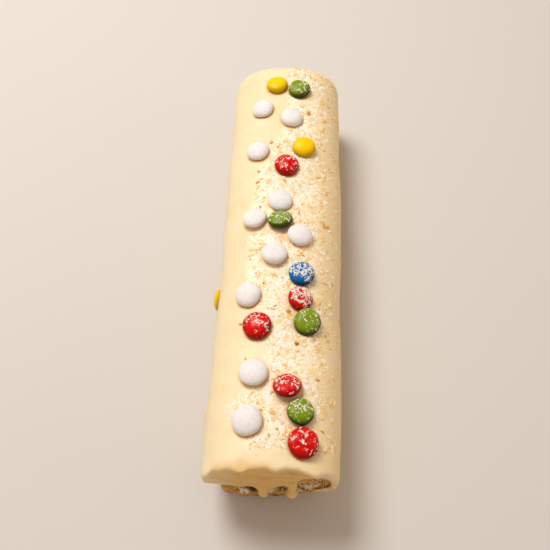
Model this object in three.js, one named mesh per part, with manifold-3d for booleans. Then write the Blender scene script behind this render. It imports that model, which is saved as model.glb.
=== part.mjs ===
// A Swiss roll in a poured white-chocolate coating, topped with sugar-shelled sweets.
// Millimetres, +Z up. The roll lies along Y with its open end at -Y and stands on z = 0.
import * as THREE from "three";
import { mergeVertices } from "three/addons/utils/BufferGeometryUtils.js";
import Module from "manifold-3d";

// Driving dimensions
const WIDTH = 72; // over the coating
const HEIGHT = 64; // top of the coating
const HALF_LENGTH = 137;
const AXIS_HEIGHT = 33; // the widest level of the roll
const BELLY = 38; // how deep the lower half of the outline would reach without its flat
const TOP_POWER = 2.5; // superellipse powers: a fuller top and a rounder underside
const BELLY_POWER = 2.2;
const COATING = 3;
const GAP = 0.3; // clearance between neighbouring pieces
const LAYER_GAP = 0.12; // clearance between the rolled layers
const FRONT_RADIUS = 5; // rounding of the coating at its ends
const BACK_RADIUS = 9.5;
const FRONT_SHIFT = -1.2; // how far the roll strays sideways from a straight line towards its ends
const BACK_SHIFT = -0.4;
const SPONGE_END = HALF_LENGTH - COATING - GAP;

// The rolled sheet
const TURN_PITCH = 0.5; // share of the radius taken by one turn of sponge and filling
const SPONGE_SHARE = 0.68; // of one turn
const CHOCOLATE_FROM = 0.78; // where the chocolate lies in one turn, the cream being on both sides
const CHOCOLATE_TO = 0.89;
const FLAP = 2.6; // radians over which the sheet's outer end thins out
const FLAP_START = 0.12; // share of the full thickness left at that end
const SEAM_ANGLE = -1.25; // radians: where the outer end lies, under the roll
const SAG = 4; // how far the middle of the roll sinks
const TURN_STEPS = 28; // outline steps in one turn
const SPONGE_STEPS = [0, 63]; // where the sponge and the filling start and stop
const FILLING_STEPS = [4, 55];

// The coating's open front and its drips
const OPENING_DEPTH = 9; // how far back the coating stays away below its edge
const RIM = 3.1; // mean height of the coating's lower edge
const DRIP_FORWARD = 0.5; // of a drip's middle before the coating's front
const DRIPS = [
  { x: -4.6, tip: 15.8, top: 34, ball: 2.7, neck: 2.1, dip: 13, spread: 4.9 },
  { x: 10.6, tip: 14, top: 46, ball: 3.2, neck: 2.3, dip: 9, spread: 3.2 },
];

// The sweets: across the roll, along it, their diameter, and how far they lean sideways and lengthways.
// A positive lengthways lean turns the face towards the open end.
const SWEET_THICKNESS = 0.46; // of the diameter
const SWEET_SINK = 1.5; // depth of the seat in the coating
const SWEETS = [
  ["yellow", -6.8, 114, 14.2, 3, -4],
  ["green", 7.6, 110, 14.3, -4, 5],
  ["white", -15, 93.6, 14.0, 0, 3],
  ["white", 3.2, 85.6, 14.3, 3, -3],
  ["yellow", 11.3, 62, 14.2, -5, 9],
  ["white", -16.4, 58.6, 14.2, 2, -3],
  ["red", 1.3, 47, 14.8, 3, 4],
  ["white", -1.6, 20.5, 14.4, 0, 4],
  ["white", -15.6, 7.9, 14.3, 4, -13],
  ["green", -1, 6, 14.8, -3, -16],
  ["white", 10.2, -3.7, 14.6, 2, -3],
  ["white", -3.7, -17.2, 14.8, 3, -10],
  ["blue", 11.8, -29.3, 14.6, -6, 4],
  ["white", -16.5, -42.7, 14.9, 2, 3],
  ["red", 11.4, -44.8, 14.2, 5, 5],
  ["green", 15, -58.5, 15.0, -5, 14],
  ["red", -10.7, -62.2, 15.6, 3, 6],
  ["white", -11.3, -88.3, 15.4, 2, -6],
  ["red", 6, -95.7, 15.2, -3, -21],
  ["green", 12.9, -108.5, 14.4, 5, -4],
  ["white", -13, -114, 16.0, 2, 5],
  ["red", 14.3, -124.2, 15.8, -4, 6],
];
const SIDE_SWEET = { along: -29.8, height: 31, diameter: 13.2, lean: 3, sink: 2.3 };

const COLOURS = {
  coating: ["#efd9a8", 0.42],
  sponge: ["#c58f45", 0.9],
  cream: ["#f1e4d2", 0.6],
  chocolate: ["#3c1a0a", 0.45],
  white: ["#e9e1d8", 0.6],
  red: ["#c4140f", 0.25],
  green: ["#4f8a12", 0.25],
  yellow: ["#f2c500", 0.25],
  blue: ["#155f9e", 0.25],
};

const wasm = await Module();
wasm.setup();

function material(name) {
  const [colour, roughness] = COLOURS[name];
  return new THREE.MeshStandardMaterial({ color: colour, roughness, metalness: 0 });
}

function smoothStep(t) {
  const u = Math.min(Math.max(t, 0), 1);
  return u * u * (3 - 2 * u);
}

function toSolid(geometry) {
  const bare = geometry.clone();
  bare.deleteAttribute("normal");
  bare.deleteAttribute("uv");
  const merged = mergeVertices(bare, 1e-4);
  return new wasm.Manifold(
    new wasm.Mesh({
      numProp: 3,
      vertProperties: new Float32Array(merged.attributes.position.array),
      triVerts: new Uint32Array(merged.index.array),
    }),
  );
}

function toGeometry(solid) {
  const mesh = solid.getMesh();
  const positions = new Float32Array(mesh.numVert * 3);
  for (let i = 0; i < mesh.numVert; i++) {
    const from = i * mesh.numProp;
    positions.set(mesh.vertProperties.subarray(from, from + 3), i * 3);
  }
  return new THREE.BufferGeometry()
    .setAttribute("position", new THREE.BufferAttribute(positions, 3))
    .setIndex(new THREE.BufferAttribute(mesh.triVerts, 1));
}

// Distance from the roll's axis to its outline at an angle from +X, a given depth inside the coating's surface
function outlineRadius(angle, depth) {
  const up = Math.sin(angle) > 0;
  const power = up ? TOP_POWER : BELLY_POWER;
  const across = WIDTH / 2 - depth;
  const tall = (up ? HEIGHT - AXIS_HEIGHT : BELLY) - depth;
  const sum = (Math.abs(Math.cos(angle)) / across) ** power + (Math.abs(Math.sin(angle)) / tall) ** power;
  return sum ** (-1 / power);
}

// The slow waves of a coating poured over a soft roll
function wave(angle, y) {
  return (
    0.34 * Math.sin(y / 19 + 2 * angle) +
    0.28 * Math.sin(y / 31 - 3 * angle + 1) +
    0.2 * Math.sin(y / 8.5 + 4 * angle + 2)
  );
}

function endRadius(y) {
  return y < 0 ? FRONT_RADIUS : BACK_RADIUS;
}

// How far the coating's outline draws in towards an end of the roll
function endDrawIn(y) {
  const rounding = endRadius(y);
  const past = Math.abs(y) - (HALF_LENGTH - rounding);
  return past <= 0 ? 0 : rounding - Math.sqrt(Math.max(rounding ** 2 - past ** 2, 0));
}

function sideShift(y) {
  return FRONT_SHIFT * smoothStep((-85 - y) / 45) + BACK_SHIFT * smoothStep((y - 90) / 45);
}

function coatingPoint(angle, y) {
  const drawIn = endDrawIn(y);
  const radius = outlineRadius(angle, drawIn) + wave(angle, y) * (1 - drawIn / endRadius(y));
  return new THREE.Vector3(
    sideShift(y) + radius * Math.cos(angle),
    y,
    AXIS_HEIGHT + radius * Math.sin(angle),
  );
}

// Where the rings of the coated body stand: even along its length and closer together round its ends
function ringPlaces() {
  const lengthSteps = 12;
  const endSteps = 4;
  const front = -HALF_LENGTH + FRONT_RADIUS;
  const back = HALF_LENGTH - BACK_RADIUS;
  const places = [];
  for (let i = endSteps; i > 0; i--) {
    places.push(front - FRONT_RADIUS * Math.sin((i / endSteps) * (Math.PI / 2)));
  }
  for (let i = 0; i <= lengthSteps; i++) places.push(front + ((back - front) * i) / lengthSteps);
  for (let i = 1; i <= endSteps; i++) {
    places.push(back + BACK_RADIUS * Math.sin((i / endSteps) * (Math.PI / 2)));
  }
  return places;
}

// The whole coated roll as one closed body: rings along Y and a middle point on each end
function coatedBody() {
  const around = 36;
  const places = ringPlaces();
  const positions = [];
  places.forEach((y) => {
    for (let j = 0; j < around; j++) positions.push(...coatingPoint((2 * Math.PI * j) / around, y));
  });
  const rings = places.length;
  const front = rings * around;
  const back = front + 1;
  positions.push(FRONT_SHIFT, -HALF_LENGTH, AXIS_HEIGHT, BACK_SHIFT, HALF_LENGTH, AXIS_HEIGHT);
  const faces = [];
  for (let j = 0; j < around; j++) {
    const next = (j + 1) % around;
    for (let i = 0; i < rings - 1; i++) {
      const a = i * around + j;
      const b = i * around + next;
      faces.push(a, b + around, b, a, a + around, b + around);
    }
    faces.push(front, j, next);
    faces.push(back, (rings - 1) * around + next, (rings - 1) * around + j);
  }
  const geometry = new THREE.BufferGeometry();
  geometry.setAttribute("position", new THREE.Float32BufferAttribute(positions, 3));
  geometry.setIndex(faces);
  return toSolid(geometry);
}

// A closed outline of [x, z] points drawn out from y0 to y1
function alongRoll(outline, y0, y1) {
  const shape = new THREE.Shape(outline.map(([x, z]) => new THREE.Vector2(x, z)));
  const geometry = new THREE.ExtrudeGeometry(shape, { depth: y1 - y0, bevelEnabled: false });
  return geometry.rotateX(Math.PI / 2).translate(0, y1, 0);
}

// A closed outline of [y, z] points drawn out from x0 to x1
function acrossRoll(outline, x0, x1) {
  const shape = new THREE.Shape(outline.map(([y, z]) => new THREE.Vector2(y, z)));
  const geometry = new THREE.ExtrudeGeometry(shape, { depth: x1 - x0, bevelEnabled: false });
  return geometry.rotateX(Math.PI / 2).rotateZ(Math.PI / 2).translate(x0, 0, 0);
}

// The room inside the coating, open underneath
function roomForRoll() {
  const outline = [];
  const steps = 44;
  for (let j = 0; j < steps; j++) {
    const angle = (2 * Math.PI * j) / steps;
    const radius = outlineRadius(angle, COATING);
    outline.push([radius * Math.cos(angle), AXIS_HEIGHT + radius * Math.sin(angle)]);
  }
  return toSolid(alongRoll(outline, -HALF_LENGTH + COATING, HALF_LENGTH - COATING));
}

// Height of the coating's lower edge along one side; it lifts towards the open end
function rimHeight(side, y) {
  const ripple = 1.1 * Math.sin(y / 14 + side) + 0.7 * Math.sin(y / 5.9 + 2 * side);
  const lift = side < 0 ? 16 * smoothStep((-108 - y) / 20) : 11 * smoothStep((-112 - y) / 18);
  return RIM + ripple + lift;
}

function belowRim(side) {
  const reach = HALF_LENGTH + 3;
  const steps = 44;
  const outline = [
    [reach, -12],
    [-reach, -12],
  ];
  for (let i = 0; i <= steps; i++) {
    const y = -reach + (2 * reach * i) / steps;
    outline.push([y, rimHeight(side, y)]);
  }
  outline.reverse();
  const far = WIDTH * 0.7;
  return toSolid(side < 0 ? acrossRoll(outline, -far, 0.01) : acrossRoll(outline, 0, far));
}

// What the coating leaves bare on the open end, below its flowing edge, which dips where a drip starts
function bareFront() {
  const edge = new THREE.SplineCurve([
    new THREE.Vector2(-42, 31),
    new THREE.Vector2(-33, 29.5),
    new THREE.Vector2(-26, 29),
    new THREE.Vector2(-21, 28),
    new THREE.Vector2(-16.5, 26),
    new THREE.Vector2(-12.5, 30),
    new THREE.Vector2(-8.5, 31),
    new THREE.Vector2(-1, 29.5),
    new THREE.Vector2(5, 33),
    new THREE.Vector2(11, 42),
    new THREE.Vector2(15, 46.5),
    new THREE.Vector2(20, 48.5),
    new THREE.Vector2(25, 49),
    new THREE.Vector2(28.6, 45),
    new THREE.Vector2(30.2, 38),
    new THREE.Vector2(30.6, 30),
    new THREE.Vector2(29.6, 24),
    new THREE.Vector2(26.5, 19.5),
    new THREE.Vector2(22.5, 16.5),
    new THREE.Vector2(20.5, 12),
    new THREE.Vector2(20.5, 6),
  ]);
  const outline = edge.getPoints(60).map((point) => {
    let height = point.y;
    DRIPS.forEach(({ x, dip, spread }) => {
      height -= dip * Math.exp(-(((point.x - x) / spread) ** 2));
    });
    return [point.x, height];
  });
  outline.push([20.5, -12], [-42, -12]);
  outline.reverse();
  return toSolid(alongRoll(outline, -HALF_LENGTH - 8, -HALF_LENGTH + OPENING_DEPTH));
}

// A drip: a neck that swells into a round tip below and fades into the coating above
function drip({ x, tip, top, ball, neck }) {
  const profile = [new THREE.Vector2(0, 0)];
  for (let i = 1; i <= 5; i++) {
    const angle = (i / 5) * 2.35;
    profile.push(new THREE.Vector2(Math.max(ball * Math.sin(angle), neck), ball * (1 - Math.cos(angle))));
  }
  const height = top - tip;
  profile.push(new THREE.Vector2(neck * 1.1, height * 0.7));
  profile.push(new THREE.Vector2(0, height));
  const geometry = new THREE.LatheGeometry(profile, 12).rotateX(Math.PI / 2);
  return toSolid(geometry.translate(x, -HALF_LENGTH - DRIP_FORWARD, tip));
}

function sweetGeometry(diameter, grow) {
  const across = diameter / 2 + grow;
  const tall = (diameter * SWEET_THICKNESS) / 2 + grow;
  const profile = [];
  const steps = 6;
  for (let i = 0; i <= steps; i++) {
    const angle = -Math.PI / 2 + (Math.PI * i) / steps;
    const reach = i === 0 || i === steps ? 0 : across * Math.cos(angle) ** 0.85;
    profile.push(new THREE.Vector2(reach, tall * Math.sin(angle)));
  }
  return new THREE.LatheGeometry(profile, 12).rotateX(Math.PI / 2);
}

// Where a sweet sits: on the coating at an angle round the roll, its axis along the surface's normal but for its
// lean, and its lowest point the given depth below the surface
function sweetPlace(angle, y, diameter, leanAcross, leanAlong, sink) {
  const step = 0.02;
  const point = coatingPoint(angle, y);
  const round = coatingPoint(angle + step, y).sub(coatingPoint(angle - step, y));
  const along = coatingPoint(angle, y + 1).sub(coatingPoint(angle, y - 1));
  const normal = along.cross(round).normalize();
  const lean = THREE.MathUtils.degToRad(Math.hypot(leanAcross, leanAlong));
  const reach = Math.hypot(Math.sin(lean), SWEET_THICKNESS * Math.cos(lean)) * (diameter / 2);
  const holder = new THREE.Object3D();
  holder.quaternion.setFromUnitVectors(new THREE.Vector3(0, 0, 1), normal);
  holder.rotateY(THREE.MathUtils.degToRad(leanAcross));
  holder.rotateX(THREE.MathUtils.degToRad(leanAlong));
  holder.position.copy(point).addScaledVector(normal, reach - sink);
  return holder;
}

// The angle round the roll at which its upper surface has a given x
function angleAcross(x, y) {
  let low = 0.2;
  let high = Math.PI - 0.2;
  for (let i = 0; i < 40; i++) {
    const middle = (low + high) / 2;
    if (coatingPoint(middle, y).x > x) low = middle;
    else high = middle;
  }
  return (low + high) / 2;
}

function sweets() {
  const placed = SWEETS.map(([colour, x, y, diameter, leanAcross, leanAlong]) => ({
    colour,
    diameter,
    holder: sweetPlace(angleAcross(x, y), y, diameter, leanAcross, leanAlong, SWEET_SINK),
  }));
  const side = SIDE_SWEET;
  const sideAngle = Math.PI - Math.asin((side.height - AXIS_HEIGHT) / (WIDTH / 2));
  placed.push({
    colour: "yellow",
    diameter: side.diameter,
    holder: sweetPlace(sideAngle, side.along, side.diameter, side.lean, side.lean, side.sink),
  });
  return placed;
}

// The rolled sheet, as shares of the outline's radius. A turn lies inside the one before it,
// and the sheet's outer end thins out so that the roll stays even.
function turnThickness(wound) {
  return TURN_PITCH * (FLAP_START + (1 - FLAP_START) * smoothStep(wound / FLAP));
}

function turnOutside(wound) {
  const turn = 2 * Math.PI;
  return wound < turn ? 1 : turnOutside(wound - turn) - turnThickness(wound - turn);
}

// The flat that the roll stands on fades out from turn to turn, and the middle sags.
function layerPoint(wound, share, trim) {
  const angle = SEAM_ANGLE + wound;
  let radius = outlineRadius(angle, COATING + GAP);
  const down = Math.sin(angle);
  if (down < 0) {
    const flat = Math.min(radius, AXIS_HEIGHT / -down);
    radius -= (radius - flat) * smoothStep((share - 0.72) / 0.28);
  }
  const reach = Math.max(radius * share + trim, 0.35);
  const sunk = SAG * (1 - Math.max(share, 0));
  return [reach * Math.cos(angle), AXIS_HEIGHT - sunk + reach * down];
}

// One layer of the sheet between two depths of its thickness, between two steps of its winding.
// All layers turn on the same steps, so that their flats stay parallel. The sponge is thicker at its outer end,
// where no filling lies on it.
function layer(name, materialName, depths, steps) {
  const outside = [];
  const inside = [];
  for (let i = steps[0]; i <= steps[1]; i++) {
    const wound = (2 * Math.PI * i) / TURN_STEPS;
    const top = turnOutside(wound);
    const thick = turnThickness(wound);
    const inset = depths[0] === 0 && i < TURN_STEPS ? 0 : -LAYER_GAP;
    const deep = i < FILLING_STEPS[0] ? 1 : depths[1];
    outside.push(layerPoint(wound, top - depths[0] * thick, inset));
    inside.push(layerPoint(wound, top - deep * thick, LAYER_GAP));
  }
  const outline = [...outside, ...inside.reverse()];
  const mesh = new THREE.Mesh(alongRoll(outline, -SPONGE_END, SPONGE_END), material(materialName));
  mesh.name = name;
  return mesh;
}

function rolledSheet() {
  const group = new THREE.Group();
  group.add(layer("sponge", "sponge", [0, SPONGE_SHARE], SPONGE_STEPS));
  group.add(layer("cream_outer", "cream", [SPONGE_SHARE, CHOCOLATE_FROM], FILLING_STEPS));
  group.add(layer("chocolate", "chocolate", [CHOCOLATE_FROM, CHOCOLATE_TO], FILLING_STEPS));
  group.add(layer("cream_inner", "cream", [CHOCOLATE_TO, 1], FILLING_STEPS));
  return group;
}

function coating(placedSweets) {
  let shell = coatedBody().subtract(belowRim(-1)).subtract(belowRim(1)).subtract(bareFront());
  DRIPS.forEach((size) => {
    shell = shell.add(drip(size));
  });
  shell = shell.subtract(roomForRoll());
  placedSweets.forEach(({ diameter, holder }) => {
    holder.updateMatrix();
    shell = shell.subtract(toSolid(sweetGeometry(diameter, GAP).applyMatrix4(holder.matrix)));
  });
  const mesh = new THREE.Mesh(toGeometry(shell), material("coating"));
  mesh.name = "coating";
  return mesh;
}

const roll = new THREE.Group();
const placed = sweets();
roll.add(rolledSheet());
roll.add(coating(placed));
placed.forEach(({ colour, diameter, holder }, i) => {
  const mesh = new THREE.Mesh(sweetGeometry(diameter, 0), material(colour));
  mesh.name = `sweet_${String(i + 1).padStart(2, "0")}_${colour}`;
  mesh.position.copy(holder.position);
  mesh.quaternion.copy(holder.quaternion);
  roll.add(mesh);
});

export default roll;
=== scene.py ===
import math

import bmesh
import bpy
import numpy as np
from mathutils import Matrix, Vector, noise
from mathutils.bvhtree import BVHTree


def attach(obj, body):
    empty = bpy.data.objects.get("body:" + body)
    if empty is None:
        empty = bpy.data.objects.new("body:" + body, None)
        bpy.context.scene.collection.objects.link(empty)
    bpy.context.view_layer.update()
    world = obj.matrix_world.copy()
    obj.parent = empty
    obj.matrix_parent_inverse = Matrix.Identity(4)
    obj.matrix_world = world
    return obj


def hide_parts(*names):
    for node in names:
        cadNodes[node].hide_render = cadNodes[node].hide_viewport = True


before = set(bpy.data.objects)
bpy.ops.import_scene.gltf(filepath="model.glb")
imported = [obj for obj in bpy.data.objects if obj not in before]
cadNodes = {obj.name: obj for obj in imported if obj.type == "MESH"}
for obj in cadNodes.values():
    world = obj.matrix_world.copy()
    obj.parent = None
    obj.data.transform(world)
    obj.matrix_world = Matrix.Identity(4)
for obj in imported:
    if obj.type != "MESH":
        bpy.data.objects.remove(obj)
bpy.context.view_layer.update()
mm = 0.001

roll = {  # the roll over its coating, the same sizes as the solids
    "width": 72,
    "height": 64,
    "halfLength": 137,
    "axisHeight": 33,
    "belly": 38,  # what lies below the axis, before the plate flattens it
    "topPower": 2.5,
    "bellyPower": 2.2,
    "coating": 3,
    "gap": 0.3,
    "backRadius": 9.5,
    "frontShift": -1.2,  # the roll bends sideways by this much at its ends
    "backShift": -0.4,
    "frontBend": -85,  # where along the roll each bend starts
    "backBend": 90,
    "bendLength": 45,
    "backEnd": 131.2,  # of the sheet, inside the coating's rounded end
}


# Shape sums, for single numbers or whole arrays


def rise(value, start=0, run=1):  # 0 at the start and 1 a run further on; a run may be below 0
    t = np.clip((value - start) / run, 0.0, 1.0)
    return t * t * (3 - 2 * t)


def bell(offset, width):
    return np.exp(-((offset / width) ** 2))


def outlineRadius(angle, depth):  # from the roll's axis to its outline, a depth inside the coating
    up = np.sin(angle) > 0
    power = np.where(up, roll["topPower"], roll["bellyPower"])
    tall = np.where(up, roll["height"] - roll["axisHeight"], roll["belly"]) - depth
    across = roll["width"] / 2 - depth
    total = (np.abs(np.cos(angle)) / across) ** power + (np.abs(np.sin(angle)) / tall) ** power
    return total ** (-1 / power)


def wave(angle, y):  # slow swells of a coating poured over a soft roll
    return (
        0.34 * np.sin(y / 19 + 2 * angle)
        + 0.28 * np.sin(y / 31 - 3 * angle + 1)
        + 0.2 * np.sin(y / 8.5 + 4 * angle + 2)
    )


def sideShift(y):
    front = roll["frontShift"] * rise(y, roll["frontBend"], -roll["bendLength"])
    return front + roll["backShift"] * rise(y, roll["backBend"], roll["bendLength"])


def depthInside(places):  # under the roll's outline
    x, z = places[:, 0] - sideShift(places[:, 1]), places[:, 2] - roll["axisHeight"]
    return outlineRadius(np.arctan2(z, x), 0) - np.hypot(x, z)


def table(names, *rows):  # one dictionary for each row of values
    return [dict(zip(names.split(), row)) for row in rows]


# Mesh helpers, all in millimetres


def prism(outline, start, end, axis=1):  # a closed outline of [a, b] pairs pushed along an axis, y or x
    bm = bmesh.new()
    corners = [bm.verts.new((a, start, b) if axis == 1 else (start, a, b)) for a, b in outline]
    pushed = bmesh.ops.extrude_face_region(bm, geom=[bm.faces.new(corners)])["geom"]
    moved = [item for item in pushed if isinstance(item, bmesh.types.BMVert)]
    push = Vector((0, 0, 0))
    push[axis] = end - start
    bmesh.ops.translate(bm, verts=moved, vec=push)
    bmesh.ops.recalc_face_normals(bm, faces=bm.faces)
    return bm


def lathe(profile, steps):  # [out, up] pairs turned about the upright axis
    bm = bmesh.new()
    verts = [bm.verts.new((out, 0, up)) for out, up in profile]
    edges = [bm.edges.new(pair) for pair in zip(verts, verts[1:])]
    bmesh.ops.spin(bm, geom=verts + edges, axis=(0, 0, 1), angle=math.tau, steps=steps, use_merge=True)
    bmesh.ops.remove_doubles(bm, verts=bm.verts, dist=0.001)
    bmesh.ops.recalc_face_normals(bm, faces=bm.faces)
    return bm


def tube(segments, radius, rings, closed):  # as long as it is wide
    bm = bmesh.new()
    sizes = {"segments": segments, "radius1": radius, "radius2": radius, "depth": 2 * radius}
    bmesh.ops.create_cone(bm, cap_ends=closed, **sizes)
    lengthways = [edge for edge in bm.edges if abs(edge.verts[0].co.z - edge.verts[1].co.z) > radius]
    bmesh.ops.subdivide_edges(bm, edges=lengthways, cuts=rings)
    return bm


def addObject(name, data):
    made = bpy.data.objects.new(name, data)
    bpy.context.scene.collection.objects.link(made)
    return made


def toObject(name, bm):
    bmesh.ops.scale(bm, vec=(mm, mm, mm), verts=bm.verts)
    mesh = bpy.data.meshes.new(name)
    bm.to_mesh(mesh)
    bm.free()
    return addObject(name, mesh)


def applyModifiers(piece):
    graph = bpy.context.evaluated_depsgraph_get()
    mesh = bpy.data.meshes.new_from_object(piece.evaluated_get(graph))
    piece.modifiers.clear()
    old = piece.data
    piece.data = mesh
    bpy.data.meshes.remove(old)


def discard(thing):
    mesh = thing.data
    bpy.data.objects.remove(thing)
    bpy.data.meshes.remove(mesh)


def combine(piece, shape, operation):  # cut with or join on another closed shape, which is used up
    tool = toObject("tool", shape)
    cut = piece.modifiers.new("cut", "BOOLEAN")
    cut.operation = operation
    cut.solver = "MANIFOLD"
    cut.object = tool
    applyModifiers(piece)
    discard(tool)


def voxelRemesh(piece, size):
    remesh = piece.modifiers.new("even", "REMESH")
    remesh.mode = "VOXEL"
    remesh.voxel_size = size * mm
    applyModifiers(piece)


def relax(piece, rounds, chosen=None):
    bm = bmesh.new()
    bm.from_mesh(piece.data)
    verts = [v for v in bm.verts if chosen is None or chosen(v.co / mm)]
    for _ in range(rounds):
        bmesh.ops.smooth_vert(bm, verts=verts, factor=0.5, use_axis_x=True, use_axis_y=True, use_axis_z=True)
    bm.to_mesh(piece.data)
    bm.free()


def vertexRows(piece, kind):
    flat = np.empty(len(piece.data.vertices) * 3)
    piece.data.vertices.foreach_get(kind, flat)
    return flat.reshape(-1, 3)


def points(piece):  # the vertices in millimetres, one row each
    return vertexRows(piece, "co") / mm


def normals(piece):
    return vertexRows(piece, "normal")


def setPoints(piece, places):
    piece.data.vertices.foreach_set("co", (places * mm).ravel())
    piece.data.update()


def attribute(piece, name, values):  # one number for each vertex
    made = piece.data.attributes.new(name, "FLOAT", "POINT")
    made.data.foreach_set("value", np.asarray(values, dtype=np.float32))


def join(piece, *others):  # the others are used up
    bm = bmesh.new()
    bm.from_mesh(piece.data)
    for other in others:
        bm.from_mesh(other.data)
        discard(other)
    bm.to_mesh(piece.data)
    bm.free()


def grain(places, size, seed=0.0):  # even noise about 0 at each place
    return np.array([noise.noise(Vector(place) / size + Vector((seed, 0, 0))) for place in places])


def lumpArrays(bm):  # a small shape's vertices and the corners of its faces
    shape = np.array([vert.co for vert in bm.verts])
    corners = np.array([[vert.index for vert in face.verts] for face in bm.faces])
    bm.free()
    return shape, corners


def arrayMesh(name, lumps, corners):  # many copies of one small shape as one mesh, sizes in mm
    count, size = len(lumps), len(lumps[0])
    faces = (corners[None] + size * np.arange(count)[:, None, None]).reshape(-1, corners.shape[1])
    mesh = bpy.data.meshes.new(name)
    mesh.from_pydata((np.concatenate(lumps) * mm).tolist(), [], faces.tolist())
    return addObject(name, mesh)


def settle(piece, finish, slot, *nodes):  # a finished piece takes its material and its place in the frame
    piece.data.materials.clear()
    piece.data.materials.append(finish)
    piece.data.shade_smooth()
    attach(piece, "root")
    if nodes:
        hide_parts(*nodes)
    return piece


# Shader helpers


class Wire:  # a shader socket: sums written on wires become Math nodes
    def __init__(self, socket):
        self.socket = socket

    def sum(self, operation, other):
        made = self.socket.id_data.nodes.new("ShaderNodeMath")
        made.operation = operation
        feed(made.inputs[0], self)
        feed(made.inputs[1], other)
        return Wire(made.outputs[0])

    def orMore(self, other):  # the larger of the two
        return self.sum("MAXIMUM", other)

    def __add__(self, other):
        return self.sum("ADD", other)

    def __mul__(self, other):
        return self.sum("MULTIPLY", other)

    __radd__, __rmul__ = __add__, __mul__


def feed(socket, value):
    if isinstance(value, Wire):
        socket.id_data.links.new(value.socket, socket)
    else:
        socket.default_value = value


class Finish:  # a material and the nodes in it
    def __init__(self, name):
        self.material = bpy.data.materials.new(name)
        self.material.use_nodes = True
        self.tree = self.material.node_tree
        self.tree.nodes.clear()
        self.where = self.node("ShaderNodeTexCoord", {}, {}, "Object")

    def node(self, kind, settings, sockets, output=0):
        made = self.tree.nodes.new(kind)
        for name, value in settings.items():
            if name == "stops":
                while len(made.color_ramp.elements) < len(value):
                    made.color_ramp.elements.new(1.0)
                for element, (place, colour) in zip(made.color_ramp.elements, value):
                    element.position = place
                    element.color = colour
            else:
                setattr(made, name, value)
        for name, value in sockets.items():
            feed(made.inputs[name], value)
        return Wire(made.outputs[output])

    def noise(self, size, detail, roughness=0.5, where=None):  # size is that of one grain, in mm
        sockets = {"Vector": where or self.where, "Scale": 1 / (size * mm), "Detail": detail}
        return self.node("ShaderNodeTexNoise", {}, {**sockets, "Roughness": roughness})

    def cells(self, size, where):  # how far it is to the nearest edge in a pattern of cells
        sockets = {"Vector": where, "Scale": 1 / (size * mm)}
        return self.node("ShaderNodeTexVoronoi", {"feature": "DISTANCE_TO_EDGE"}, sockets, "Distance")

    def between(self, value, low, high):  # 0 below low, 1 above high
        sockets = {"Value": value, "From Min": low, "From Max": high}
        return self.node("ShaderNodeMapRange", {"interpolation_type": "SMOOTHSTEP"}, sockets)

    def blend(self, amount, first, second):
        made = self.tree.nodes.new("ShaderNodeMix")
        made.data_type = "RGBA"
        feed(made.inputs[0], amount)
        feed(made.inputs[6], first)
        feed(made.inputs[7], second)
        return Wire(made.outputs[2])

    def attribute(self, name):
        return self.node("ShaderNodeAttribute", {"attribute_name": name}, {}, "Fac")

    def vector(self, operation, sockets):
        return self.node("ShaderNodeVectorMath", {"operation": operation}, sockets)

    def warped(self, size, reach):  # places pushed about by noise, sizes in mm
        sockets = {"Vector": self.where, "Scale": 1 / (size * mm)}
        push = self.node("ShaderNodeTexNoise", {}, sockets, "Color")
        middle = self.vector("SUBTRACT", {0: push, 1: (0.5, 0.5, 0.5)})
        pushed = self.vector("SCALE", {0: middle, "Scale": 2 * reach * mm})
        return self.vector("ADD", {0: self.where, 1: pushed})

    def bump(self, height, depth):  # depth in mm
        sockets = {"Height": height, "Distance": depth * mm, "Strength": 1.0}
        return self.node("ShaderNodeBump", {}, sockets)

    def surface(self, **sockets):
        made = self.tree.nodes.new("ShaderNodeBsdfPrincipled")
        for name, value in sockets.items():
            feed(made.inputs[name.replace("_", " ")], value)
        last = self.tree.nodes.new("ShaderNodeOutputMaterial")
        self.tree.links.new(made.outputs[0], last.inputs["Surface"])
        return self.material


def colour(red, green, blue):  # from the 0 to 255 of a colour picker to linear light
    linear = []
    for part in (red, green, blue):
        part = part / 255
        linear.append(part / 12.92 if part <= 0.04045 else ((part + 0.055) / 1.055) ** 2.4)
    return (*linear, 1.0)


# Coating

poured = {  # the shape of the coating
    "segments": 128,
    "rings": 220,
    "rim": 3.1,  # mean height of the lower edge
    "voxel": 0.95,
    "softFrom": -132.5,  # what lies behind this is smoothed further
    "fineTo": -131,  # and what lies before this is shaped finely
    "innerDepth": 1.9,  # from here the wall counts as hidden
    "innerFaces": 0.1,  # share of the faces kept on the hidden inner wall
    "openingDepth": 9,
    "clear": 8,  # how far the shape that opens the end stands before it
    "rimClear": 3,  # and the shapes that cut the lower edges past both ends
    "below": -12,  # how low they all reach
    "frontRadius": 1.6,  # before rounding softens it to that of the solid
    "edgeRounding": 0.8,  # given back beforehand for what rounding takes off the front edge
    "dripReach": 3.8,  # how far a drip's ball comes forward
    "frontBulge": 0.8,
    "endReach": 24,  # path from an end's rounding to its middle
    "endShare": 0.98,  # of it that is worked in rings, before the cap
    "seatGap": 0.25,
    "seatRidge": 0.3,  # the coating pushed up round a sweet
    "crest": 0.4,  # how far the front edge of the top wanders
    "lipBack": 1.8,  # how far the lip at the right lies back
}
rimLifts = {  # towards the open end the lower edges rise: how much, from where and over what length
    -1: {"lift": 16, "start": -108, "run": 20},
    1: {"lift": 11, "start": -112, "run": 18},
}
crestLine = [  # across the roll, how far the front edge of the top hangs forward
    (-36, 2.2), (-32, 2.2), (-28, 0.4), (-20, 1.1), (-15, 1.5), (-11, 0.1), (-5, 0.1), (1, 1.0), (6, 0.4),
    (12, 0.5), (17, 1.7), (22, 2.4), (27, 1.2), (31, 0.2), (36, 0),
]
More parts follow.
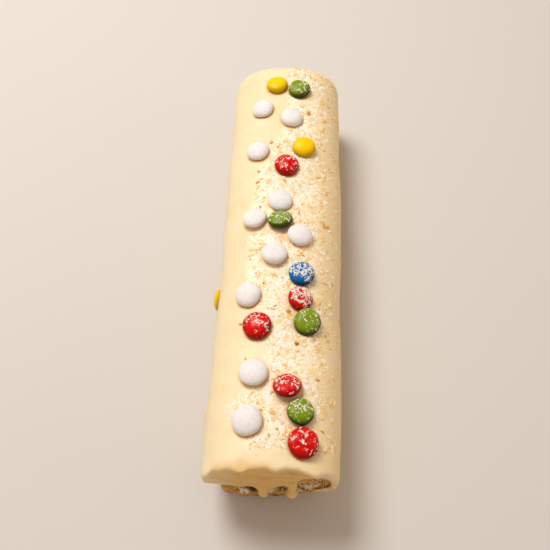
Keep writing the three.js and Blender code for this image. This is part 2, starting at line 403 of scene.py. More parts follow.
# the dimple's tint is painted shade in the dip
dimple = {"x": -15, "y": -136.5, "reach": 4, "deep": 0.7, "tint": 0.4}  # behind the crest
bumps = table(  # on the coating's left side: place, how far they stand out and their size
    "y z out size",
    (33, 37, 0.7, 3.5),
    (24, 36, 0.5, 2.5),
    (12, 38, 0.8, 4),
    (-66, 37, 0.6, 3),
    (-103, 38, 1.0, 3.5),
    (-112, 36, 0.5, 2.5),
)
folds = table(  # of the curtain: place, slope, how far they reach across, stand out and run up
    "x z fall reach out up",
    (-11, 55, 0.13, 12, 1.8, 3.5),
    (2, 60, 0.1, 6, 1.4, 2.5),
    (12, 58, 0.35, 7, 1.7, 3),
    (3, 51, -0.1, 12, 1.2, 3),
    (-24, 44.5, 0.2, 11, 1.5, 3.5),
    (-9, 47, 0.1, 11, 1.2, 3),
    (9, 45, -0.2, 7, 1.2, 3),
    (-17, 37.5, 0.1, 12, 1.1, 3),
    (1, 39, 0.2, 9, 1.1, 3),
)
drips = table(
    "x tip top ball neck dip spread",
    (-4.6, 15.8, 34, 3.2, 2.5, 13, 4.9),
    (10.6, 15, 46, 3.75, 2.4, 9, 3.2),
)
frontEdge = [  # [x, z] of the coating's edge across the open end, then down its right side and back
    (-42, 31), (-33, 29.5), (-26, 29), (-21, 28), (-16.5, 26), (-12.5, 30), (-8.5, 31), (-1, 29.5),
    (5, 33), (11, 42), (15, 46.5), (20, 48.5), (25, 49), (28.6, 45), (30.2, 38), (30.6, 30), (29.6, 24),
    (26.5, 19.5), (22.5, 16.5), (20.5, 12), (20.5, 6),
]


def endRadius(side):
    return poured["frontRadius"] if side < 0 else roll["backRadius"]


def bodyPoint(angle, path):  # the path runs along the roll, over the rounding and in over the end
    side = math.copysign(1, path)
    rounding = endRadius(side)
    reach = roll["halfLength"] - rounding
    turn = np.clip((abs(path) - reach) / rounding, 0, math.pi / 2)
    y = side * (min(abs(path), reach) + rounding * math.sin(turn))
    drawIn = rounding * (1 - math.cos(turn))
    inward = max(abs(path) - reach - rounding * math.pi / 2, 0) / poured["endReach"]
    radius = (outlineRadius(angle, drawIn) + wave(angle, y) * math.cos(turn)) * (1 - inward)
    if side < 0:
        y -= poured["frontBulge"] * (1 - (1 - inward) ** 2)
    x = sideShift(y) + radius * math.cos(angle)
    return Vector((x, y, roll["axisHeight"] + radius * math.sin(angle)))


def coatedBody():
    bm = tube(poured["segments"], 1, poured["rings"], False)
    inward = poured["endShare"] * poured["endReach"]
    for vert in bm.verts:
        whole = roll["halfLength"] + endRadius(vert.co.z) * (math.pi / 2 - 1) + inward
        vert.co = bodyPoint(math.atan2(vert.co.y, vert.co.x), vert.co.z * whole)
    bmesh.ops.holes_fill(bm, edges=bm.edges, sides=0)
    bmesh.ops.recalc_face_normals(bm, faces=bm.faces)
    return bm


def roomForRoll():
    outline = []
    steps = 120
    for step in range(steps):
        angle = step * math.tau / steps
        radius = outlineRadius(angle, roll["coating"])
        outline.append((radius * math.cos(angle), roll["axisHeight"] + radius * math.sin(angle)))
    return prism(outline, roll["coating"] - roll["halfLength"], roll["backEnd"] + roll["gap"])


def rimHeight(side, y):
    ripple = 1.1 * math.sin(y / 14 + side) + 0.7 * math.sin(y / 5.9 + 2 * side)
    end = rimLifts[side]
    lift = end["lift"] * rise(y, end["start"], -end["run"])
    return poured["rim"] + ripple * rise(y, 132, -20) + lift


def belowRim(side):
    reach = roll["halfLength"] + poured["rimClear"]
    outline = [(reach, poured["below"]), (-reach, poured["below"])]
    steps = 160
    for step in range(steps + 1):
        y = -reach + 2 * reach * step / steps
        outline.append((y, rimHeight(side, y)))
    return prism(outline, 0.0, side * roll["width"] * 0.7, axis=0)


def splineThrough(corners, count):  # a smooth run of points through the corners
    run = [Vector(corners[0])] + [Vector(corner) for corner in corners] + [Vector(corners[-1])]
    made = []
    for step in range(count):
        place = step / (count - 1) * (len(corners) - 1)
        i = min(int(place), len(corners) - 2)
        t = place - i
        a, b, c, d = run[i : i + 4]
        curve = 2 * b + (c - a) * t + (2 * a - 5 * b + 4 * c - d) * t**2
        made.append(0.5 * (curve + (3 * b - 3 * c + d - a) * t**3))
    return made


def edgeLine():  # the coating's edge across the open end, with a dip where each drip pulls it down
    line = []
    for point in splineThrough(frontEdge, 140):
        dip = sum(drip["dip"] * bell(point.x - drip["x"], drip["spread"]) for drip in drips)
        line.append((point.x, point.y - dip - poured["edgeRounding"]))
    return line


def bareFront():
    outline = edgeLine()
    outline += [(outline[-1][0], poured["below"]), (frontEdge[0][0], poured["below"])]
    front = -roll["halfLength"]
    return prism(outline, front - poured["clear"], front + poured["openingDepth"])


def dripShape(drip):
    ball, neck, height = drip["ball"], drip["neck"], drip["top"] - drip["tip"]
    profile = [(0.0, 0.0)]
    steps, ballTurn = 12, 2.35  # the ball is followed this far round before the neck leaves it
    for step in range(1, steps + 1):
        turn = step / steps * ballTurn
        profile.append((max(ball * math.sin(turn), neck), ball * (1 - math.cos(turn))))
    profile += [(neck * wide, height * up) for wide, up in ((1, 0.45), (1.1, 0.7), (0.9, 0.86), (0, 1))]
    bm = lathe(profile, 24)
    front = -roll["halfLength"] - poured["dripReach"] + ball
    bmesh.ops.translate(bm, verts=bm.verts, vec=(drip["x"], front, drip["tip"]))
    return bm


def wanderingCrest(places, outward):  # how far the top's front edge is moved forward
    x, y, z = places.T
    depth = depthInside(places)
    ahead = np.interp(x, *zip(*splineThrough(crestLine, 120)))
    ahead += poured["crest"] * np.sin(x / 2.4 + 1.2 * np.sin(x / 3.9))
    outer = np.maximum(rise(depth, 1.8, -0.8), rise(outward[:, 1], -0.2, -0.5))
    near = rise(y, 8 - roll["halfLength"], -6) * rise(z, 40, 8)
    hang = 9 - 4.5 * rise(x, 10, 9)  # it ends higher up at the right
    return ahead * outer * near * (1 - rise(depth, 1, hang))


def foldedFront(places):  # how far the folds push the curtain forward, and the painted shade just below each fold
    x, _, z = places.T
    out, foldShade = np.zeros(len(places)), np.zeros(len(places))
    for i, fold in enumerate(folds):
        edge = fold["z"] - fold["fall"] * (x - fold["x"])
        edge += 0.6 * np.sin(x / 4.1 + 2.3 * i) + 0.3 * np.sin(x / 2.1 + 1.7 * i)
        above = z - edge
        upper = np.exp(-np.maximum(above, 0) / fold["up"])
        shape = np.where(above > 0, upper, 1 - rise(above, 0, -0.8))
        reach = rise(np.abs(x - fold["x"]), fold["reach"], -6)
        out += fold["out"] * shape * reach
        # painted shade: darker just below each fold's overhang
        foldShade = np.maximum(foldShade, fold["out"] / 1.5 * reach * bell(above + 1.3, 1.5))
    return out, np.clip(foldShade, 0, 1)


def finerFront(piece):  # smaller faces on the curtain, its edge and its drips
    bm = bmesh.new()
    bm.from_mesh(piece.data)
    front = {v for v in bm.verts if v.co.y < poured["fineTo"] * mm and v.normal.y < 0.5}
    edges = [edge for edge in bm.edges if front.issuperset(edge.verts)]
    bmesh.ops.subdivide_edges(bm, edges=edges, cuts=1, use_grid_fill=True)
    bm.to_mesh(piece.data)
    bm.free()


def fromSweet(places, seat):  # how high each place lies above a sweet's middle and how far out from it
    offset, up = places - np.array(seat["centre"]), np.array(seat["normal"])
    high = offset @ up
    return high, np.linalg.norm(offset - high[:, None] * up, axis=1)


def seatSweets(places, seats):  # lower the coating under each sweet and raise a soft ridge round it
    gap = poured["seatGap"]
    for seat in seats:
        high, out = fromSweet(places, seat)
        out /= seat["d"] / 2 + gap
        near = (out < 1.6) & (high > -seat["t"]) & (high < seat["t"])
        lens = np.sqrt(np.clip(1 - out**2.35, 0, 1)) * (seat["t"] / 2 + gap)
        sunk = near & (out < 1) & (high > -lens)
        ridge = poured["seatRidge"] * bell(out - 0.86, 0.13)
        lift = np.where(near & ~sunk & (high < 0), ridge, 0.0)
        places += np.where(sunk, -lens - high, lift)[:, None] * np.array(seat["normal"])
    return places


def besideSweets(places, seats):  # 1 in the narrow gap round each sweet, for the painted contact shade there
    near = np.zeros(len(places))
    for seat in seats:
        high, out = fromSweet(places, seat)
        near = np.maximum(near, bell(out / (seat["d"] / 2) - 0.98, 0.1) * (np.abs(high) < seat["t"]))
    return near


def raiseBumps(places):
    for bump in bumps:
        apart = np.hypot(places[:, 1] - bump["y"], places[:, 2] - bump["z"])
        lift = bump["out"] * bell(apart, bump["size"]) * (depthInside(places) < 1.5)
        places[:, 0] -= lift * (places[:, 0] < 0)
    return places


def thinInnerWall(piece):
    places = points(piece)
    deep = poured["innerDepth"]
    inner = (depthInside(places) > deep) & (np.abs(places[:, 1]) < roll["halfLength"] - deep)
    group = piece.vertex_groups.new(name="inner")
    group.add(np.flatnonzero(inner).tolist(), 1.0, "REPLACE")
    thin = piece.modifiers.new("thin", "DECIMATE")
    thin.vertex_group = "inner"
    thin.vertex_group_factor = 10
    thin.ratio = 1 - (1 - poured["innerFaces"]) * inner.mean()
    applyModifiers(piece)
    piece.vertex_groups.clear()


def pouredCoating(seats):  # the shell with its edges, its drips and a seat for each sweet
    piece = toObject("coating_poured", coatedBody())
    for shape in (belowRim(-1), belowRim(1), bareFront()):
        combine(piece, shape, "DIFFERENCE")
    for drip in drips:
        combine(piece, dripShape(drip), "UNION")
    combine(piece, roomForRoll(), "DIFFERENCE")
    voxelRemesh(piece, poured["voxel"])
    relax(piece, 2)
    relax(piece, 3, lambda place: place.y > poured["softFrom"])
    setPoints(piece, raiseBumps(seatSweets(points(piece), seats)))
    relax(piece, 1)
    finerFront(piece)
    return piece


def shapeFront(piece):  # crest, dimple, folds and lip, and the curtain's ochre tint and painted shade, with painted shade in its creases
    front = -roll["halfLength"]
    places = points(piece)
    x, y, z = places.T  # views, so a move along y or z is a move of the places
    y -= wanderingCrest(places, normals(piece))
    sunk = bell(np.hypot(x - dimple["x"], y - dimple["y"]), dimple["reach"])
    sunk *= (z > 50) * rise(depthInside(places), 1.5, -1)
    z -= dimple["deep"] * sunk
    setPoints(piece, places)
    facing = rise(normals(piece)[:, 1], -0.2, -0.5) * rise(y, front + 4.5, -3)
    facing *= rise(z, 30, 6) * rise(depthInside(places), 2.5, 4)
    out, foldShade = foldedFront(places)
    y -= out * facing
    setPoints(piece, places)
    # painted shade below the folds, where their overhang would shade the curtain
    attribute(piece, "crease", foldShade * facing)
    # the curtain turns ochre: partly the coating's own tint, partly painted shade on the front face, which
    # turns from the key light
    curtainTintAndShade = rise(depthInside(places), -0.2, 4.5) * rise(y, front + 4, -3)
    curtainTintAndShade *= 1 - 0.85 * rise(x, 24, 5)
    curtainTintAndShade *= 1 - 0.4 * rise(y, front - 1.6, -1.5) * rise(z, 36, -8)
    curtainTintAndShade *= 1 - 0.55 * rise(x, -14, -13)
    attribute(piece, "curtain", np.maximum(curtainTintAndShade, dimple["tint"] * sunk))
    relax(piece, 1, lambda place: place.y < poured["fineTo"])
    places = points(piece)
    x, y, z = places.T
    lip = rise(x, 17, 9) * rise(z, 27, -8)
    y += poured["lipBack"] * lip * rise(y, front + 2.4, -2)
    setPoints(piece, places)
    return places


def makeCoating(finish, seats):
    piece = pouredCoating(seats)
    places = shapeFront(piece)
    x, y, z = places.T
    # painted contact shade round each sweet
    attribute(piece, "cranny", besideSweets(places, seats))
    leftEdgeShade = rise(y, -131.5, -4) * rise(x, 6, -10) * rise(x, -34, 8)
    attribute(piece, "tan", np.maximum(rise(x, 10, 20), 1.8 * leftEdgeShade))  # painted shade: warmer and darker at the top's front edge on the left and on the whole right side
    upward = rise(normals(piece)[:, 2], 0.1, 0.6) * rise(z, 30, 20)
    for name in ("dust", "powder"):
        attribute(piece, name, crumbShare(x, y, *crumbZone[name]) * upward)
    thinInnerWall(piece)
    return settle(piece, finish, "coating", "coating")


def coatingFinish():
    f = Finish("whiteChocolate")
    fine = f.noise(0.9, 3)
    pale = f.blend(f.between(f.noise(14, 3), 0.35, 0.7), colour(241, 221, 183), colour(240, 215, 173))
    speckled = f.blend(f.between(fine, 0.6, 0.8) * 0.5, pale, colour(249, 234, 208))
    # painted shade on the parts that turn from the key light
    speckled = f.blend(f.attribute("tan") * 0.4, speckled, colour(235, 199, 142))
    golden = f.between(f.noise(2.6, 3, 0.6) + 0.3 * f.noise(7, 2), 0.58, 0.78) * f.attribute("dust")
    powder = f.between(f.noise(1.9, 4, 0.65) + 0.35 * f.noise(8, 2), 0.56, 0.78) * f.attribute("powder")
    speckled = f.blend(golden * 0.6, speckled, colour(234, 188, 120))
    speckled = f.blend(powder * 0.8, speckled, colour(255, 243, 224))
    # painted contact shade round the sweets, warm orange
    speckled = f.blend(f.attribute("cranny") * 0.7, speckled, colour(232, 166, 84))
    # ochre on the curtain: partly its own tint, partly painted shade
    curtainTintAndShade = f.blend(f.attribute("curtain"), speckled, colour(233, 188, 108))
    height = f.noise(7, 2) + 0.14 * fine
    return f.surface(
        # painted shade in the curtain's creases
        Base_Color=f.blend(f.attribute("crease") * 0.6, curtainTintAndShade, colour(162, 108, 50)),
        Roughness=f.between(fine, 0.2, 0.8) * 0.12 + 0.42,
        Normal=f.bump(height, 0.35),
        Subsurface_Weight=0.3,
        Subsurface_Radius=(1.0, 0.5, 0.2),
        Subsurface_Scale=2.5 * mm,
        Specular_IOR_Level=0.35,
    )


# Rolled sheet: sponge with cream, chocolate and cream on it

sheet = {
    "turnPitch": 0.5,  # share of the radius taken by one turn of sponge and filling
    "flap": 2.6,  # radians over which the outer end thins out
    "flapStart": 0.12,
    "seamAngle": -1.25,
    "sag": 4,  # how far the middle sinks
    "flatFrom": 0.72,  # share of the radius outside which the plate flattens the underside
    "core": 0.35,  # the middle turn keeps off the axis by this much
    "gap": 0.12,
    "turnSteps": 28,
    "finer": 3,  # outline steps for each one of the solids
    "end": 133.7,  # where the cut lies, towards the open end
    "slab": 5.5,  # thickness of the finely shaped cut
    "least": 0.8,  # what the deepest hollow leaves of it
    "voxel": 0.5,
}
layers = table(  # of the sheet, each with its shares of the thickness and its first and last step
    "name slot nodes parts steps",
    ("spongeRolled", "sponge", ["sponge"], [(0, 0.68)], (0, 63)),
    ("creamRolled", "cream", ["cream_outer", "cream_inner"], [(0.68, 0.78), (0.89, 1)], (4, 55)),
    ("chocolateRolled", "chocolate", ["chocolate"], [(0.78, 0.89)], (4, 55)),
)
hollows = table(  # in the cut: middle, half sizes, depth (below 0 they stand out) and how much painted shade they get
    "x z wide tall deep dark",
    (-9.8, 13, 3, 7.5, 3.6, 1),
    (3.8, 17.5, 6.4, 8.5, 3.8, 1),
    (15, 31.5, 2.2, 2.6, 1.6, 0.8),
    (18.5, 30, 1.2, 2.4, 1.4, 0.7),
    (21.6, 29, 2.4, 2.4, 1.8, 0.9),
    (25.2, 24.5, 1.1, 2.8, 1.8, 1),
    (26.4, 34.5, 1.2, 2.8, 1.6, 0.8),
    (18.4, 18.5, 1.1, 2, 1.4, 0.9),
    (21.2, 21.5, 2, 1.8, 1.6, 0.8),
    (16, 13, 4.5, 4, 0.8, 0.5),
    (-20, 20, 3, 1.6, -1, 0.5),
    (-18.5, 14, 2.6, 1.8, -1, 0.6),
    (-22.5, 11, 2.4, 1.2, -1, 0.5),
)
swells = table(  # parts of the cut face that stand forward or lie back: middle, half sizes and height
    "x z wide tall out",
    (-20, 9, 12, 15, 2.2),
    (-33, 14, 6.5, 18, -2.4),
    (-8, 2, 5, 9, 1.3),
    (3, 4, 8, 12, 0.8),
    (18.5, 34, 11, 15, 1.4),
    (14, 1, 6, 12, -1),
)
scraps = table(  # torn cream: middle and half sizes of a patch, and its scraps
    "x z wide tall count length thick lean out",
    (17, 32, 3.6, 5, 9, 6.5, 0.6, 0.9, 2),
    (16, 23, 4, 3, 4, 6, 0.6, 0.5, 1.5),
    (23, 31, 3.5, 4, 4, 5, 0.5, 0.8, 2),
    (-15, 16.5, 2.4, 3.6, 13, 2.4, 1.4, 0.7, 2.1),
    (-0.8, 14.5, 0.8, 3.2, 6, 2.2, 1.4, 0.7, 1.2),
)


def turnThickness(wound):
    thin = sheet["flapStart"]
    return sheet["turnPitch"] * (thin + (1 - thin) * rise(wound, 0, sheet["flap"]))


def turnOutside(wound):
    if wound < math.tau:
        return 1.0
    return turnOutside(wound - math.tau) - turnThickness(wound - math.tau)


def layerPoint(wound, share, trim):
    angle = sheet["seamAngle"] + wound
    radius = outlineRadius(angle, roll["coating"] + roll["gap"])
    down = math.sin(angle)
    if down < 0:
        flat = min(radius, roll["axisHeight"] / -down)
        radius -= (radius - flat) * rise(share, sheet["flatFrom"], 1 - sheet["flatFrom"])
    reach = max(radius * share + trim, sheet["core"])
    sunk = sheet["sag"] * (1 - max(share, 0))
    return (reach * math.cos(angle), roll["axisHeight"] - sunk + reach * down)


def layerOutline(depths, steps):
    outside, inside = [], []
    finer = sheet["finer"]
    for i in range(steps[0] * finer, steps[1] * finer + 1):
        wound = math.tau * i / (sheet["turnSteps"] * finer)
        top, thick = turnOutside(wound), turnThickness(wound)
        inset = 0 if depths[0] == 0 and wound < math.tau else -sheet["gap"]
        deep = 1 if i < layers[1]["steps"][0] * finer else depths[1]
        outside.append(layerPoint(wound, top - depths[0] * thick, inset))
        inside.append(layerPoint(wound, top - deep * thick, sheet["gap"]))
    return outside + inside[::-1]


def bareness(places):  # 1 where the cut lies open, 0 behind the coating's curtain and its lip
    x, _, z = places.T
    line = np.array(edgeLine())
    turn = int(np.argmax(line[:, 0]))
    curtain = np.interp(x, line[:turn, 0], line[:turn, 1])
    lip = np.interp(x, line[:turn:-1, 0], line[:turn:-1, 1])
    overLip = np.where(x > 19, np.maximum(rise(z - lip, 0.4, 1.6), rise(z, 12, -2)), 1)
    besideLip = np.where(z > 24, rise(x, 30, -2.5), 1)
    return rise(z, curtain - 1.5, -3) * overLip * besideLip


def pores(places, size, share):  # round holes in a share of the cells, 1 at their middle
    holes = np.zeros(len(places))
    for i, place in enumerate(places):
        spot = Vector((place[0], 0, place[2])) / size
        distances, cells = noise.voronoi(spot)[:2]
        if noise.cell(cells[0] * 7.3) < share:
            holes[i] = 1 - distances[0] / 0.55
    return np.clip(holes, 0, 1)


def within(places, patch, soft, ragged=0.0):  # 1 in the middle of an oval patch of the cut, 0 outside it
    x = (places[:, 0] - patch["x"]) / patch["wide"]
    z = (places[:, 2] - patch["z"]) / patch["tall"]
    return rise(1 - x**2 - z**2 + ragged, 0, soft)


def cutRelief(kind, places, creamy):  # how far each place of the cut stands forward, in mm
    rough = grain(places * (1, 0, 1), 4.0)
    fine = grain(places * (1, 0, 1), 1.3, 9.0)
    if kind == "sponge":
        holes = 1.3 * rise(pores(places, 1.9, 0.6)) + 1.9 * rise(pores(places, 4.2, 0.35))
        return 0.7 + 0.7 * rough + (0.5 * fine - holes) * rise(places[:, 2], 1, 3)
    if kind == "cream":
        return -0.3 + 1.2 * rough + 0.9 * fine + 0.9 * creamy
    return -1.6 + 1.2 * rough + 0.8 * fine + 2.2 * creamy


def shapeCut(kind, places):  # the cut's relief, the painted shade its depth gives it and how far crumbs cover it
    bare = bareness(places)
    covered = rise(places[:, 0], 11, 3) * rise(places[:, 2], 18, 4)
    relief = cutRelief(kind, places, covered)
    # painted shade: the further the relief lies back, the darker
    dark = np.clip((0.6 - relief) / 3, 0, 1)
    out = relief + sum(swell["out"] * within(places, swell, 0.8) for swell in swells)
    ragged = 0.3 * grain(places * (1, 0, 1), 1.6, 4.0)
    for hollow in hollows:
        torn = within(places, hollow, 0.4, ragged)
        out = np.minimum(out, out * (1 - torn) - hollow["deep"] * torn)
        # painted shade in each hollow
        dark = np.maximum(dark, within(places, hollow, 0.25, ragged) * hollow["dark"])
    return out * bare, dark * bare, covered


def makeScraps():
    rng = np.random.default_rng(5)
    bm = tube(6, 0.5, 5, True)
    bmesh.ops.triangulate(bm, faces=bm.faces)
    shape, corners = (array[:, ::-1] for array in lumpArrays(bm))  # laid along x, still facing outwards
    lumps = []
    for patch in scraps:
        for _ in range(patch["count"]):
            length = patch["length"] * rng.uniform(0.7, 1.25)
            deep = patch["thick"] * rng.uniform(0.8, 1.4)
            lump = shape * (length, deep, patch["thick"] * rng.uniform(0.7, 1))
            along = 2 * lump[:, :1] / length
            tapered = np.sqrt(np.clip(1 - 0.92 * along**4, 0, 1))
            lump[:, 1:] *= tapered * (1 + 0.25 * np.sin(5 * along + rng.uniform(0, 6)))
            lump[:, 1] += rng.choice((-1, 1)) * 0.03 * lump[:, 0] ** 2
            aside = Matrix.Rotation(rng.normal(0, 0.5), 3, "Z")
            turn = aside @ Matrix.Rotation(rng.uniform(0, math.tau), 3, "X")
            turn = Matrix.Rotation(rng.normal(0.4, patch["lean"]), 3, "Y") @ turn
            x = patch["x"] + patch["wide"] * rng.uniform(-1, 1)
            z = patch["z"] + patch["tall"] * rng.uniform(-1, 1)
            y = -sheet["end"] - patch["out"] - rng.uniform(0, 1.1)
            lumps.append(lump @ np.array(turn).T + (x, y, z))
    return arrayMesh("scraps", lumps, corners)


def makeLayer(layer, finish):
    pieces = []
    front = -sheet["end"]
    back = front + sheet["slab"]
    for depths in layer["parts"]:
        outline = layerOutline(depths, layer["steps"])
        slab = toObject("slab", prism(outline, front, back + 0.1))
        voxelRemesh(slab, sheet["voxel"])
        places = points(slab)
        facing = np.flatnonzero((places[:, 1] < front + 0.4) & (normals(slab)[:, 1] < -0.3))
        out, dark, covered = shapeCut(layer["slot"], places[facing])
        places[facing, 1] -= np.maximum(out, sheet["least"] - sheet["slab"])
        setPoints(slab, places)
        # the painted shade of the cut, and its crumb cover
        for name, values in (("depth", dark), ("crumbed", covered)):
            spread = np.zeros(len(places))
            spread[facing] = values
            attribute(slab, name, spread)
        pieces += [slab, toObject("bar", prism(outline, back, roll["backEnd"]))]
    if layer["slot"] == "cream":
        pieces.append(makeScraps())
    piece = pieces[0]
    join(piece, *pieces[1:])
    piece.name = layer["name"]
    return settle(piece, finish, layer["slot"], *layer["nodes"])


def spongeFinish():
    f = Finish("spongeCrumb")
    high = f.node("ShaderNodeSeparateXYZ", {}, {0: f.where}, "Z")
    fine = f.noise(0.9, 4, 0.65)
    crumb = f.blend(f.between(f.noise(3.5, 3), 0.35, 0.65), colour(206, 150, 70), colour(228, 180, 96))
    # darker towards the bottom: partly a baked crust, partly painted shade near the floor
    crustAndFloorShade = f.blend(f.between(high, 4 * mm, 1 * mm) * 0.9, crumb, colour(116, 72, 26))
    shaded = f.blend(f.between(fine, 0.5, 0.32) * 0.5, crustAndFloorShade, colour(140, 88, 36))
    # painted shade in the cut's hollows and deep relief
    deep = f.between(f.attribute("depth"), 0.1, 0.65)
    return f.surface(
        Base_Color=f.blend(deep * 0.9, shaded, colour(70, 36, 10)),
        Roughness=0.9,
        Normal=f.bump(fine, 0.5),
    )


def creamFinish():
    f = Finish("cream")
    fine = f.noise(0.8, 4, 0.6)
    pale = f.blend(f.between(fine, 0.35, 0.65), colour(242, 226, 204), colour(255, 248, 238))
    crumbed = f.blend(f.attribute("crumbed") * 0.7, pale, colour(222, 172, 92))
    return f.surface(
        # painted shade in the cut's hollows
        Base_Color=f.blend(f.between(f.attribute("depth"), 0.2, 0.6) * 0.9, crumbed, colour(80, 42, 14)),
        Roughness=0.6,
        Normal=f.bump(fine, 0.4),
    )


def chocolateFinish():
    f = Finish("chocolateFilling")
    fine = f.noise(1.1, 3, 0.6)
    dark = f.blend(f.between(fine, 0.35, 0.65), colour(58, 28, 10), colour(92, 50, 20))
    return f.surface(
        Base_Color=f.blend(f.attribute("crumbed") * 0.75, dark, colour(206, 150, 72)),
        Roughness=0.55,
        Normal=f.bump(fine, 0.4),
    )


# Sweets

sweetLooks = table(  # the shell's colour and roughness, and how far painted shade darkens its rim
    "kind shell roughness rim",
    ("white", colour(234, 227, 227), 0.65, 0),
    ("red", colour(216, 6, 2), 0.28, 0.58),
    ("green", colour(125, 150, 2), 0.3, 0.84),
    ("yellow", colour(250, 204, 0), 0.3, 0.4),
    ("blue", colour(0, 110, 184), 0.3, 0.65),
)
specks = {  # how thickly each sweet is streaked with white sugar, by its number
    "02": 0.38, "07": 0.33, "10": 0.46, "13": 0.62, "15": 0.74,
    "16": 0.34, "17": 0.34, "19": 0.38, "20": 0.38, "22": 0.3,
}
speckSide = Vector((0.3, 0.95, 0))  # the sugar lies thicker on this side of a sweet
lightSide = (-0.5, 0.85, 0)  # and its painted rim shade stays lighter on this side, towards the key light
sweetShape = {
    "rings": 24,
    "around": 48,
    "blunt": 0.85,  # below 1 the rim is blunter than a circle's
    "size": 0.985,  # beside the solid's
    "dents": 0.05,  # share of the size
    "dentSize": 5,
    # how far the painted rim shade leans towards the lit side
    "lightShare": 0.26,
}


def whiteShell(look):
    f = Finish(look["kind"] + "Shell")
    mottled = f.between(f.noise(1.6, 3), 0.5, 0.72)
    return f.surface(
        Base_Color=f.blend(mottled * 0.35, look["shell"], colour(208, 196, 186)),
        Roughness=look["roughness"],
        Normal=f.bump(f.noise(3.5, 2) + 0.15 * f.noise(0.7, 3), 0.3),
        Subsurface_Weight=0.08,
        Subsurface_Radius=(1.0, 0.8, 0.6),
        Subsurface_Scale=1 * mm,
    )


def colouredShell(look):
    f = Finish(look["kind"] + "Shell")
    cover = f.attribute("cover")
    streaks = f.between(f.cells(3.4, f.warped(2.6, 1.4)), 0.1, 0.06)
    threads = f.between(f.cells(2.1, f.warped(1.8, 0.9)), 0.1, 0.05)
    patches = f.between(f.noise(2.4, 2) + 0.34 * cover, 0.62, 0.68)
    oval = f.node("ShaderNodeMapping", {}, {"Vector": f.where, "Scale": (1, 1.2, 0.8)})
    others = f.between(f.noise(3.1, 2, 0.5, oval) + 0.3 * cover, 0.66, 0.72)
    blots = f.between(f.noise(1.7, 3, 0.6, f.warped(1.5, 0.5)) + 0.26 * cover, 0.77, 0.81)
    lines = (streaks * patches).orMore(threads * others)
    sugar = lines.orMore(blots) * f.between(cover, 0.0, 0.15)
    film = f.between(f.noise(2.8, 2), 0.5, 0.75) * cover * 0.22
    # painted shade: the rim darkens, less on the side towards the key light
    dark = tuple((1 - look["rim"]) * part for part in look["shell"][:3]) + (1.0,)
    mottled = f.between(f.noise(4, 2), 0.35, 0.7) * 0.3
    shade = f.blend(f.between(f.attribute("high"), 0.38, -0.05), look["shell"], dark)
    shell = f.blend(mottled * f.attribute("high"), shade, dark)
    return f.surface(
        Base_Color=f.blend((sugar * 0.88).orMore(film), shell, colour(246, 232, 220)),
        Roughness=sugar * (0.8 - look["roughness"]) + look["roughness"],
        Normal=f.bump(sugar + 0.5 * f.noise(4, 2), 0.2),
        Specular_IOR_Level=0.15,
    )


def sweetPlaces():  # where each sweet is, which way it faces and how large it is, from the solids
    places = []
    for name in sorted(node for node in cadNodes if node.startswith("sweet_")):
        corners = np.unique(np.round(points(cadNodes[name]), 3), axis=0)
        centre = corners.mean(0)
        axes = np.linalg.svd(corners - centre)[2]
        normal = Vector(axes[2])
        spread = (corners - centre) @ axes.T
        diameter = 2 * np.hypot(spread[:, 0], spread[:, 1]).max()
        outward = Vector((centre[0], 0, centre[2] - roll["axisHeight"]))
        if normal.dot(outward) < 0:
            normal = -normal
        place = {"name": name, "centre": Vector(centre), "normal": normal}
        places.append({**place, "d": diameter, "t": np.ptp(spread[:, 2])})
    return places


def makeSweet(place, finish):
    profile = []
    radius, rings = place["d"] / 2, sweetShape["rings"]
    for step in range(rings + 1):
        turn = -math.pi / 2 + math.pi * step / rings
        out = 0.0 if step in (0, rings) else radius * math.cos(turn) ** sweetShape["blunt"]
        profile.append((out, place["t"] / 2 * math.sin(turn)))
    bm = lathe(profile, sweetShape["around"])
    for vert in bm.verts:
        dent = noise.noise(vert.co / sweetShape["dentSize"] + place["centre"])
        vert.co *= sweetShape["size"] + sweetShape["dents"] * dent
    turned = place["normal"].to_track_quat("Z", "Y").to_matrix().to_4x4()
    bmesh.ops.transform(bm, matrix=Matrix.Translation(place["centre"]) @ turned, verts=bm.verts)
    _, number, kind = place["name"].split("_")
    piece = toObject(place["name"] + "_shell", bm)
    spread = points(piece) - np.array(place["centre"])
    high = spread @ np.array(place["normal"]) / place["t"]
    side = spread @ np.array(speckSide) / radius
    light = spread @ np.array(lightSide) / radius
    # the height also leans towards the lit side, for the painted rim shade
    attribute(piece, "high", high + sweetShape["lightShare"] * light)
    attribute(piece, "cover", specks.get(number, 0.0) * rise(high, 0, 0.3) * rise(side, -1.1, 1.2))
    return settle(piece, finish[kind], "sweet_" + kind, place["name"])


# Crumbs and white flakes on the coating

crumbZone = {
    "left": [
        (-150, -10), (-124, -12), (-114, -21), (-104, -23), (-90, -6), (-60, -5), (-30, -17), (10, -18),
        (45, -14), (80, 0), (150, 2),
    ],
    "leftFade": 5,
    "rightFade": 12,
    "rightShare": 0.9,  # how many of them are gone beyond it
    "front": -130,
    "frontFade": 4,
    "dust": (0, 20),  # how far this finest layer strays and its limit at the right
    "powder": (4, 14),
    "clump": 7,
    "speckle": 2.6,
    "angles": (14, 130),  # round the roll's axis, in degrees
    "along": (-131, 136),
    "radius": 38,  # of the top of the roll, to turn millimetres across into an angle
    "dropFrom": 60,  # the axis
    "besideSweet": 0.15,
}
